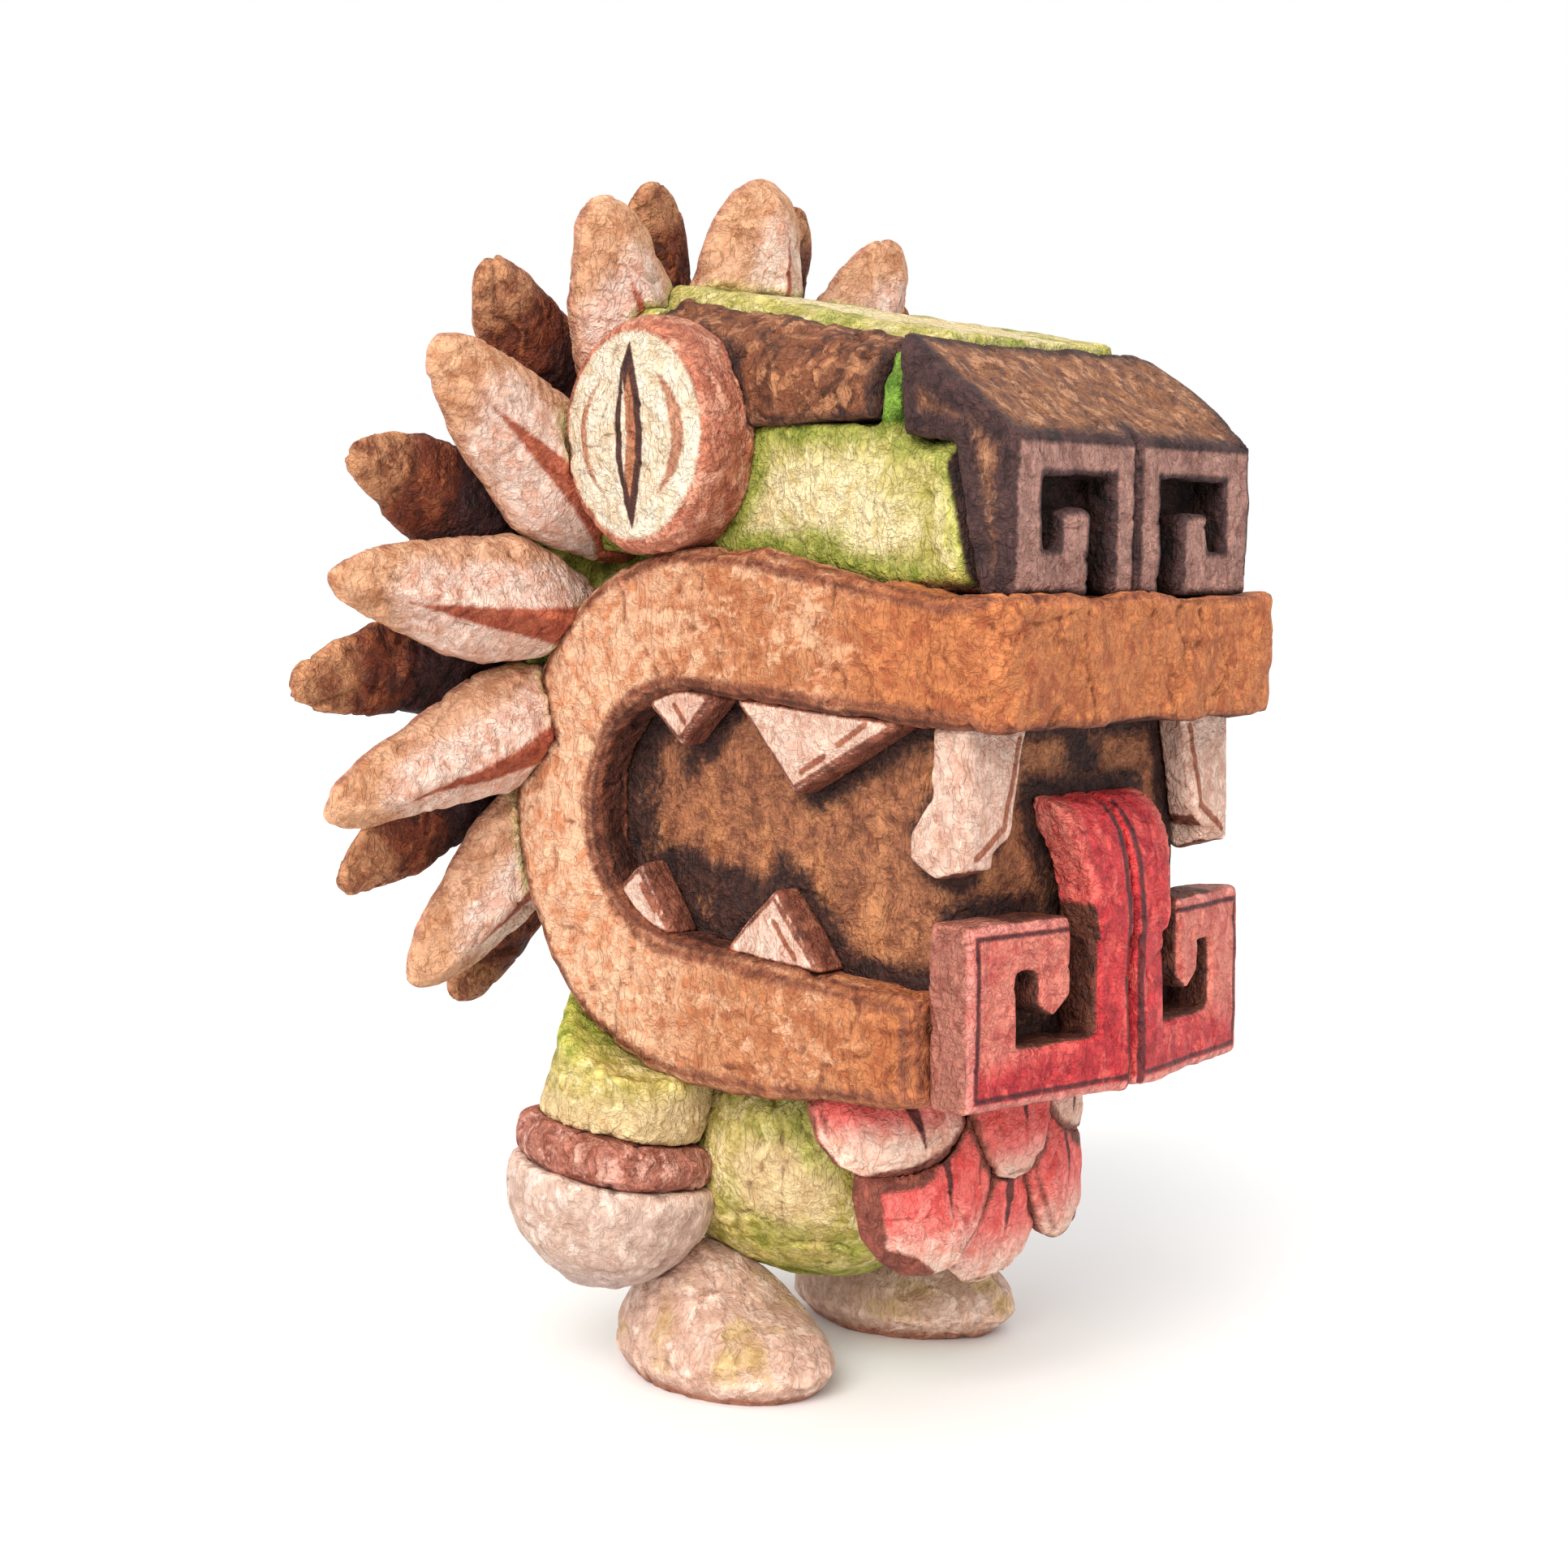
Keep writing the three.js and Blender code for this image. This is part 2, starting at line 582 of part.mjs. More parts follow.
// The ruff's feathers are numbered from the top one down each side.
function ruffFeather(name, kind, degrees, material) {
  const place = new THREE.Matrix4()
    .multiply(ruffMatrix())
    .multiply(new THREE.Matrix4().makeRotationY(THREE.MathUtils.degToRad(degrees)));
  const solid = cut(solidOf(feather(kind, degrees).applyMatrix4(place)), core, band, ...brows, ...eyes);
  add(figure, name, geometryOf(solid), material);
}
ruffFeather("light_feather_top", LIGHT, 0, COLOURS.light);
for (const [label, sign] of [["left", 1], ["right", -1]]) {
  for (let i = 1; i <= LIGHT_FEATHERS; i++) {
    ruffFeather(`light_feather_${label}_${i}`, LIGHT, sign * i * FEATHER_STEP, COLOURS.light);
  }
  for (let i = 1; i <= DARK_FEATHERS; i++) {
    ruffFeather(`dark_feather_${label}_${i}`, DARK, sign * (i - 0.5) * FEATHER_STEP, COLOURS.dark);
  }
}

// The stick that holds the head on the body.
const pegGeometry = new THREE.CylinderGeometry(PEG.radius, PEG.radius, PEG.top - PEG.bottom, 16)
  .rotateX(Math.PI / 2)
  .translate(0, PEG.y, (PEG.top + PEG.bottom) / 2);
add(figure, "neck_peg", pegGeometry, COLOURS.peg);

figure.updateMatrixWorld(true);
const box = new THREE.Box3().setFromObject(figure);
figure.position.set(0, -(box.min.y + box.max.y) / 2, -box.min.z);

export default figure;
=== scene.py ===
"""A feathered serpent figurine in painted papier-mache, built round its CAD frame.

Every piece is a CAD solid remeshed, softened and crumpled like paper pulp. The paint is laid by
signed distances in millimetres (positive inside the painted area), kept as point attributes, which
the node materials turn into brushed edges, washes and fibres.
"""

import json
import math

import bmesh
import bpy
import numpy as np
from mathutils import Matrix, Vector, kdtree
from mathutils.bvhtree import BVHTree


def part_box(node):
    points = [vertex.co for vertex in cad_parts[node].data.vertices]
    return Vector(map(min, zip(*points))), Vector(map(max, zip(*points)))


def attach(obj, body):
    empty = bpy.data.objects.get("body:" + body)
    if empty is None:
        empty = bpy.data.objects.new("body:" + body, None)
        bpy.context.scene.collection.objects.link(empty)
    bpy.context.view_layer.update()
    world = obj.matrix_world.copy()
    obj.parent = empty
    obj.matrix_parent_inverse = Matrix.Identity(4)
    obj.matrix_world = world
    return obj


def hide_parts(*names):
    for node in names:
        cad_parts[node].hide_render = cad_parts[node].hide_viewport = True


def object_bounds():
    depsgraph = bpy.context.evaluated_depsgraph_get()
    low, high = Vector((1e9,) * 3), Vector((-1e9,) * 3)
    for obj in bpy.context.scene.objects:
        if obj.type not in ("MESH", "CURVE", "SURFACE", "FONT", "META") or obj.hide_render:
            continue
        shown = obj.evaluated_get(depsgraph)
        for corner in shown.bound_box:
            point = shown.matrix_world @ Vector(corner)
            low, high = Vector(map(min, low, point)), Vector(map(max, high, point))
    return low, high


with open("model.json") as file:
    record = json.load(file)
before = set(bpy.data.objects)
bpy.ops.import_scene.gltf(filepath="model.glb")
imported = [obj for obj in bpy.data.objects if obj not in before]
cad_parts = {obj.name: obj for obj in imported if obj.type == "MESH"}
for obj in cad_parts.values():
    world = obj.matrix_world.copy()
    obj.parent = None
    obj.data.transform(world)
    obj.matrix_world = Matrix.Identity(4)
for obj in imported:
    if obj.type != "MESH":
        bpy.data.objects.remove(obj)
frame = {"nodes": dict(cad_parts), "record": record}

CAD_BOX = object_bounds()
NODES = frame["nodes"]
SLOT_OF = {part["node"]: part["material_slot"] for part in frame["record"]["subparts"]}
MM = 0.001

# ---- Places in the CAD's modelling axes, in millimetres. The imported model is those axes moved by
# SHIFT along y, which the neck peg shows. ----
PEG_Y = -6.0
SHIFT = (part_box("neck_peg")[0][1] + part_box("neck_peg")[1][1]) / 2 / MM - PEG_Y
RUFF_CENTRE = np.array([0.0, 27.7, 107.7])
RUFF_LEAN = math.radians(13.5)
FEATHER_STEP = 28.0
FEATHER_ROOT, FEATHER_TIP = 24.0, 69.0
LIP_TOP = 111.5
LOOP_Y, LOOP_Z, LOOP_RY, LOOP_RZ = -8.0, 81.5, 36.0, 36.5
NOSE_FRONT = -57.0
EYE_Y, EYE_Z, EYE_RY, EYE_RZ = -0.8, 133.0, 13.6, 15.1

# ---- Camera: the figure's right front, slightly above ----
AZIMUTH, ELEVATION = math.radians(-48.0), math.radians(4.5)
AIM = Vector((0.0, (SHIFT + 5.0) * MM, 0.0835))
DISTANCE = 0.39
LENS = 60.56


def make_camera():
    """The photograph's view."""
    data = bpy.data.cameras.new("camera")
    data.lens = LENS
    data.sensor_width = 36.0
    data.clip_start = 0.01
    camera = bpy.data.objects.new("camera", data)
    back = Vector((
        math.sin(AZIMUTH) * math.cos(ELEVATION),
        -math.cos(AZIMUTH) * math.cos(ELEVATION),
        math.sin(ELEVATION),
    ))
    camera.location = AIM + back * DISTANCE
    camera.rotation_euler = (-back).to_track_quat("-Z", "Y").to_euler()
    bpy.context.scene.collection.objects.link(camera)
    bpy.context.scene.camera = camera


make_camera()


# ---- Noise, the same on every run ----
def lattice_noise(p, seed):
    """Smooth value noise from -1 to 1 at each point of p."""
    cell = np.floor(p).astype(np.int64)
    f = p - cell
    f = f * f * (3 - 2 * f)
    total = np.zeros(len(p))
    for corner in range(8):
        step = np.array([(corner >> k) & 1 for k in range(3)])
        i = cell + step
        h = (i[:, 0] * 73856093) ^ (i[:, 1] * 19349663) ^ (i[:, 2] * 83492791)
        h = (h + seed * 374761393) & 0xFFFFFFFF
        h = ((h ^ (h >> 15)) * 668265263) & 0xFFFFFFFF
        h = ((h ^ (h >> 13)) * 374761393) & 0xFFFFFFFF
        h = h ^ (h >> 16)
        weight = np.prod(np.where(step, f, 1 - f), axis=1)
        total += weight * (h / 2.0**31 - 1)
    return total


def fractal(p, size, octaves, seed):
    """Several octaves of noise, the largest of them size millimetres across."""
    total = np.zeros(len(p))
    for k in range(octaves):
        total += lattice_noise(p / size * 2**k + 17.3 * k, seed + 31 * k) * 0.5**k
    return total


def crumple(p, seed, strength):
    """Height of the paper's lumps, dents and creases, in millimetres."""
    lump_height, dent_height, crease_depth = 0.55, 0.24, 0.42
    wander, crease_width = 2.4, 0.045
    drift = np.stack([fractal(p, 8.0, 2, seed + k) for k in (5, 6, 7)], axis=1)
    q = p + wander * drift
    lumps = fractal(q, 10.0, 2, seed)
    dents = fractal(q, 3.2, 2, seed + 1)
    fold = np.abs(fractal(q, 8.5, 2, seed + 2))
    crease = -np.exp(-((fold / crease_width) ** 2))
    return strength * (lump_height * lumps + dent_height * dents + crease_depth * crease)


# ---- Meshes ----
def arrays(mesh):
    """The points of a mesh and their normals, one row each."""
    count = len(mesh.vertices)
    p = np.empty(count * 3)
    n = np.empty(count * 3)
    mesh.vertices.foreach_get("co", p)
    mesh.vertex_normals.foreach_get("vector", n)
    return p.reshape(-1, 3), n.reshape(-1, 3)


def edge_ends(mesh):
    """The two vertex numbers of every edge."""
    ends = np.empty(len(mesh.edges) * 2, dtype=np.int64)
    mesh.edges.foreach_get("vertices", ends)
    return ends.reshape(-1, 2).T


def drop_specks(mesh):
    """Removes the small loose islands that remeshing can leave."""
    a, b = edge_ends(mesh)
    label = np.arange(len(mesh.vertices))
    while True:
        lowest = label.copy()
        np.minimum.at(lowest, a, label[b])
        np.minimum.at(lowest, b, label[a])
        lowest = lowest[lowest]
        if (lowest == label).all():
            break
        label = lowest
    islands, sizes = np.unique(label, return_counts=True)
    if len(islands) > 1:
        edit = bmesh.new()
        edit.from_mesh(mesh)
        edit.verts.ensure_lookup_table()
        loose = np.nonzero(label != islands[sizes.argmax()])[0]
        bmesh.ops.delete(edit, geom=[edit.verts[i] for i in loose], context="VERTS")
        edit.to_mesh(mesh)
        edit.free()


def softened(node, voxel, passes):
    """A new mesh from the CAD node: even quads of voxel millimetres, with its edges rounded."""
    piece = bpy.data.objects.new("paper_" + node, NODES[node].data.copy())
    bpy.context.scene.collection.objects.link(piece)
    remesh = piece.modifiers.new("remesh", "REMESH")
    remesh.mode = "VOXEL"
    remesh.voxel_size = voxel * MM
    smooth = piece.modifiers.new("smooth", "SMOOTH")
    smooth.factor = 0.5
    smooth.iterations = passes
    graph = bpy.context.evaluated_depsgraph_get()
    mesh = bpy.data.meshes.new_from_object(piece.evaluated_get(graph))
    piece.modifiers.clear()
    piece.data = mesh
    mesh.materials.clear()
    drop_specks(mesh)
    mesh.shade_smooth()
    return piece


def sharp_edges(node, angle=32.0, step=0.35):
    """A search tree of points along the CAD node's sharp edges, in millimetres."""
    edit = bmesh.new()
    edit.from_mesh(NODES[node].data)
    bmesh.ops.remove_doubles(edit, verts=edit.verts, dist=1e-6)
    bmesh.ops.dissolve_limit(
        edit, angle_limit=math.radians(2), verts=edit.verts, edges=edit.edges
    )
    points = []
    for edge in edit.edges:
        if len(edge.link_faces) == 2 and edge.calc_face_angle(0) > math.radians(angle):
            a, b = (v.co / MM for v in edge.verts)
            count = max(1, int((b - a).length / step))
            points += [a.lerp(b, k / count) for k in range(count + 1)]
    edit.free()
    tree = kdtree.KDTree(max(1, len(points)))
    for i, point in enumerate(points):
        tree.insert(point, i)
    tree.balance()
    return tree if points else None


TREES = {}
for node_name, node_object in NODES.items():
    source = node_object.data
    TREES[node_name] = BVHTree.FromPolygons(
        [v.co / MM for v in source.vertices], [tuple(f.vertices) for f in source.polygons]
    )
BOXES = {name: [np.array(corner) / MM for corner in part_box(name)] for name in NODES}
REACH = 7.0
NO_EDGE = 99.0


def neighbours(node):
    """The other nodes whose boxes come within REACH. The peg is hidden, so it doesn't count."""
    low, high = BOXES[node]
    for other, (other_low, other_high) in BOXES.items():
        apart = np.maximum(other_low - high, low - other_high).max()
        if other != node and other != "neck_peg" and apart < REACH:
            yield other


def contact_distance(p, node):
    """Distance of each point from the nearest other piece, in millimetres, up to REACH."""
    found = np.full(len(p), REACH)
    for other in neighbours(node):
        low, high = BOXES[other]
        tree = TREES[other]
        close = np.all((p > low - REACH) & (p < high + REACH), axis=1)
        for i in np.nonzero(close)[0]:
            distance = tree.find_nearest(p[i], REACH)[3]
            if distance is not None and distance < found[i]:
                found[i] = distance
    return found


def edge_distance(p, node):
    """Distance of each point from a sharp edge, in millimetres, or NO_EDGE on a rounded node."""
    tree = sharp_edges(node)
    if tree is None:
        return np.full(len(p), NO_EDGE)
    return np.array([tree.find(point)[2] for point in p])


def hollowness(mesh, p, n):
    """How deep each point lies among its neighbours: above 0 in creases, below 0 on ridges."""
    a, b = edge_ends(mesh)
    degree = np.bincount(a, minlength=len(p)) + np.bincount(b, minlength=len(p))

    def mean(values):
        total = np.bincount(a, values[b], len(p)) + np.bincount(b, values[a], len(p))
        return total / np.maximum(degree, 1)

    around = np.stack([mean(p[:, k]) for k in range(3)], axis=1)
    length = np.linalg.norm(p[a] - p[b], axis=1).mean()
    depth = ((around - p) * n).sum(axis=1) / length**2
    for _ in range(2):
        depth = 0.4 * depth + 0.6 * mean(depth)
    return depth


def store(mesh, name, values):
    """Keeps one value for each point, which a material reads by name."""
    layer = mesh.attributes.new(name, "FLOAT", "POINT")
    layer.data.foreach_set("value", np.ascontiguousarray(values, dtype=np.float32))


# ---- Node materials ----
SCENE_LIGHT = 1.32  # how much brighter than its own colour a lit surface comes out
# Painted shade in the creases and folds: the paint there is multiplied by this tint.
CREASE_TINT = (0.42, 0.3, 0.26)  # what a crease keeps of the paint's red, green and blue


def colour(text):
    """Linear reflectance for the colour, written as hexadecimal sRGB, that a lit surface shows."""
    values = [int(text[i:i + 2], 16) / 255 for i in (0, 2, 4)]
    linear = [v / 12.92 if v <= 0.04045 else ((v + 0.055) / 1.055) ** 2.4 for v in values]
    return (*[v / SCENE_LIGHT for v in linear], 1.0)


class Nodes:
    """Adds nodes to one material. An input is a number, a tuple or another node's output."""

    def __init__(self, name):
        self.material = bpy.data.materials.new(name)
        self.material.use_nodes = True
        self.tree = self.material.node_tree
        self.tree.nodes.clear()

    def add(self, kind, inputs=None, output=0, **settings):
        node = self.tree.nodes.new(kind)
        for key, value in settings.items():
            setattr(node, key, value)
        for key, value in (inputs or {}).items():
            if isinstance(value, bpy.types.NodeSocket):
                self.tree.links.new(value, node.inputs[key])
            else:
                node.inputs[key].default_value = value
        return node.outputs[output]

    def math(self, operation, a, b=0.0):
        return self.add("ShaderNodeMath", {0: a, 1: b}, operation=operation)

    def mix(self, factor, a, b):
        node = self.tree.nodes.new("ShaderNodeMix")
        node.data_type = "RGBA"
        for index, value in ((0, factor), (6, a), (7, b)):
            if isinstance(value, bpy.types.NodeSocket):
                self.tree.links.new(value, node.inputs[index])
            else:
                node.inputs[index].default_value = value
        return node.outputs[2]

    def tinted(self, a, tint):
        return self.add("ShaderNodeVectorMath", {0: a, 1: tint}, operation="MULTIPLY")

    def scaled(self, vector, factor):
        return self.add("ShaderNodeVectorMath", {0: vector, "Scale": factor}, operation="SCALE")

    def between(self, value, low, high):
        """0 below low, 1 above high, and smooth between."""
        return self.add(
            "ShaderNodeMapRange",
            {"Value": value, "From Min": low, "From Max": high, "To Min": 0.0, "To Max": 1.0},
            interpolation_type="SMOOTHSTEP",
        )

    def noise(self, vector, size, detail=2.0, rough=0.5, output=0):
        return self.add(
            "ShaderNodeTexNoise",
            {"Vector": vector, "Scale": 1.0 / size, "Detail": detail, "Roughness": rough},
            output=output,
        )

    def moved(self, vector, scale=(1.0, 1.0, 1.0), offset=(0.0, 0.0, 0.0), turn=(0.0, 0.0, 0.0)):
        return self.add(
            "ShaderNodeMapping",
            {"Vector": vector, "Scale": scale, "Location": offset, "Rotation": turn},
        )

    def attribute(self, name):
        return self.add("ShaderNodeAttribute", attribute_name=name, output="Fac")

    def surface(self, shader):
        """The finished material, with this shader."""
        output = self.tree.nodes.new("ShaderNodeOutputMaterial")
        self.tree.links.new(shader, output.inputs["Surface"])
        return self.material


def folded(nodes, vector, size):
    """A sheet folded at random: 0 in the sharp creases, about 0.4 on the broad crests."""
    field = nodes.math("SUBTRACT", nodes.noise(vector, size, 1.2, 0.45), 0.5)
    return nodes.math("MULTIPLY", nodes.math("ABSOLUTE", field), 2.0)


def strands(nodes, vector, offset, scale, turn, width, size=1.3):
    """Thin curved lines, long in the direction that scale squeezes: 1 on a line, 0 off it."""
    stretched = nodes.moved(vector, scale, offset, turn)
    field = nodes.noise(stretched, size, 1.6, 0.5)
    off = nodes.math("ABSOLUTE", nodes.math("SUBTRACT", field, 0.5))
    return nodes.math("SUBTRACT", 1.0, nodes.between(off, 0.0, width))


def brushed(nodes, vector, scale, turn, low, high):
    """Dry-brush strokes with ragged ends, long in the direction that scale squeezes."""
    stretched = nodes.moved(vector, scale, turn=turn)
    return nodes.between(nodes.noise(stretched, 1.9, 4.0, 0.62), low, high)


def paper(name, tones, strokes=(), fibre=0.5, washed=0.75, rough=0.6, grit=1.0, level=False):
    """Painted fibre paper. tones are the dark, middle and light of the ground colour. fibre is how
    plain the fibres are, washed how dark the painted shade in the creases is and grit how strong
    the finest grain is.
    level lays the brush marks flat. Each stroke is (attribute, dark, light, softness, wobble)."""
    nodes = Nodes(name)
    metres = nodes.add("ShaderNodeTexCoord", output="Object")
    place = nodes.scaled(metres, 1 / MM)

    def warp(size, amount):
        drift = nodes.add(
            "ShaderNodeVectorMath",
            {0: nodes.noise(place, size, 2.0, 0.6, output=1), 1: (0.5, 0.5, 0.5)},
            operation="SUBTRACT",
        )
        return nodes.add(
            "ShaderNodeVectorMath", {0: place, 1: nodes.scaled(drift, amount)}, operation="ADD"
        )

    # Fields of noise. Their sizes are in millimetres.
    warped = warp(4.5, 3.4)
    crumpled = warp(2.2, 3.0)
    patches = nodes.noise(warped, 7.0, 3.0, 0.6)
    grain = nodes.noise(warped, 2.6, 5.0, 0.64)
    fine = nodes.noise(place, 0.45, 3.0, 0.7)
    here = nodes.between(patches, 0.44, 0.56)
    along = brushed(nodes, crumpled, (1.0, 0.3, 0.45), (0.5, 0.1, 0.9), 0.5, 0.62)
    stretch = (0.5, 0.2, 0.7) if level else (0.6, 0.8, 0.26)
    upward = brushed(nodes, crumpled, stretch, (0.2, 0.4, 0.1), 0.5, 0.62)
    dry = nodes.math("MULTIPLY", along, here)
    elsewhere = nodes.math("SUBTRACT", 1.0, here)
    dry = nodes.math("MAXIMUM", dry, nodes.math("MULTIPLY", upward, elsewhere))
    mottled = nodes.between(grain, 0.36, 0.6)

    # The ground colour, and the strokes over it.
    ground = nodes.mix(mottled, colour(tones[0]), colour(tones[1]))
    ground = nodes.mix(nodes.math("MULTIPLY", dry, 0.8), ground, colour(tones[2]))
    edge_noise = nodes.math("SUBTRACT", nodes.noise(warped, 1.1, 4.0, 0.7), 0.5)
    for attribute, dark, light, softness, wobble in strokes:
        reach = nodes.math(
            "ADD", nodes.attribute(attribute), nodes.math("MULTIPLY", edge_noise, 2.0 * wobble)
        )
        cover = nodes.between(reach, -softness / 2, softness / 2)
        laid = nodes.mix(nodes.math("MAXIMUM", mottled, dry), colour(dark), colour(light))
        ground = nodes.mix(cover, ground, laid)

    # Folds, and fibres that lie three ways.
    broad = folded(nodes, crumpled, 5.0)
    small = folded(nodes, crumpled, 2.1)
    # Painted shade along the broad folds, where the grain allows it.
    fold = nodes.math("SUBTRACT", 1.0, nodes.between(broad, 0.0, 0.05))
    fold = nodes.math("MULTIPLY", fold, nodes.between(grain, 0.45, 0.6))
    # Painted highlight along the crests of the small folds.
    crest = nodes.between(small, 0.12, 0.42)

    across = strands(nodes, warped, (0, 0, 0), (1.0, 0.17, 1.0), (0.3, 0, 0.2), 0.035)
    upright = strands(nodes, warped, (41, 7, 3), (1.0, 1.0, 0.2), (0.4, 0.3, 0), 0.035)
    slanted = strands(nodes, warped, (5, 77, 9), (0.2, 1.0, 1.0), (0.2, 0.7, 0.8), 0.035)
    pale = nodes.math("MAXIMUM", across, slanted)
    pale = nodes.math("MULTIPLY", pale, nodes.between(patches, 0.3, 0.62))
    deep = nodes.math("MULTIPLY", upright, nodes.between(patches, 0.68, 0.36))

    # Painted shade in the creases and folds, and what lightens or darkens the rest.
    hollow = nodes.attribute("hollow")
    in_crease = nodes.math(
        "MULTIPLY", nodes.between(hollow, 0.6, 2.4), nodes.between(grain, 0.2, 0.5)
    )
    settled = nodes.math("MAXIMUM", in_crease, nodes.math("MULTIPLY", fold, 0.55))
    settled = nodes.math("MULTIPLY", settled, washed)
    ground = nodes.mix(settled, ground, nodes.tinted(ground, CREASE_TINT))
    # Painted highlight on the ridges of the crumpled surface.
    on_ridge = nodes.math(
        "MULTIPLY", nodes.between(hollow, -0.6, -2.4), nodes.between(grain, 0.36, 0.55)
    )
    speckle = nodes.between(nodes.noise(place, 0.8, 2.0, 0.6), 0.7, 0.76)

    # The gain: painted highlights on the crests and ridges, then the paler and darker fibres, dry
    # brush, speckle and fine grain.
    gain = 1.0
    dust = nodes.math("SUBTRACT", fine, 0.5)
    for field, amount in (
        (crest, 0.16), (on_ridge, 0.35), (pale, 0.5 * fibre), (dry, 0.08),
        (deep, -0.55 * fibre), (speckle, -0.25 * grit), (dust, 0.8 * grit),
    ):
        gain = nodes.math("ADD", gain, nodes.math("MULTIPLY", field, amount))
    ground = nodes.scaled(ground, nodes.math("MAXIMUM", gain, 0.25))

    height = 0.0
    for field, amount in (
        (nodes.math("MINIMUM", broad, 0.4), 1.6), (nodes.math("MINIMUM", small, 0.35), 1.0),
        (grain, 0.7 * grit), (fine, 0.25 * grit), (pale, 0.25), (deep, -0.2), (dry, 0.2),
    ):
        height = nodes.math("ADD", height, nodes.math("MULTIPLY", field, amount))
    deep_bump = (0.3 + 0.4 * grit) * MM
    bump = nodes.add(
        "ShaderNodeBump", {"Height": height, "Strength": 1.0, "Distance": deep_bump}
    )
    roughness = nodes.math("ADD", rough, nodes.math("MULTIPLY", fine, 0.14))
    shader = nodes.add(
        "ShaderNodeBsdfPrincipled",
        {"Base Color": ground, "Roughness": roughness, "Normal": bump, "Specular IOR Level": 0.3},
    )
    return nodes.surface(shader)


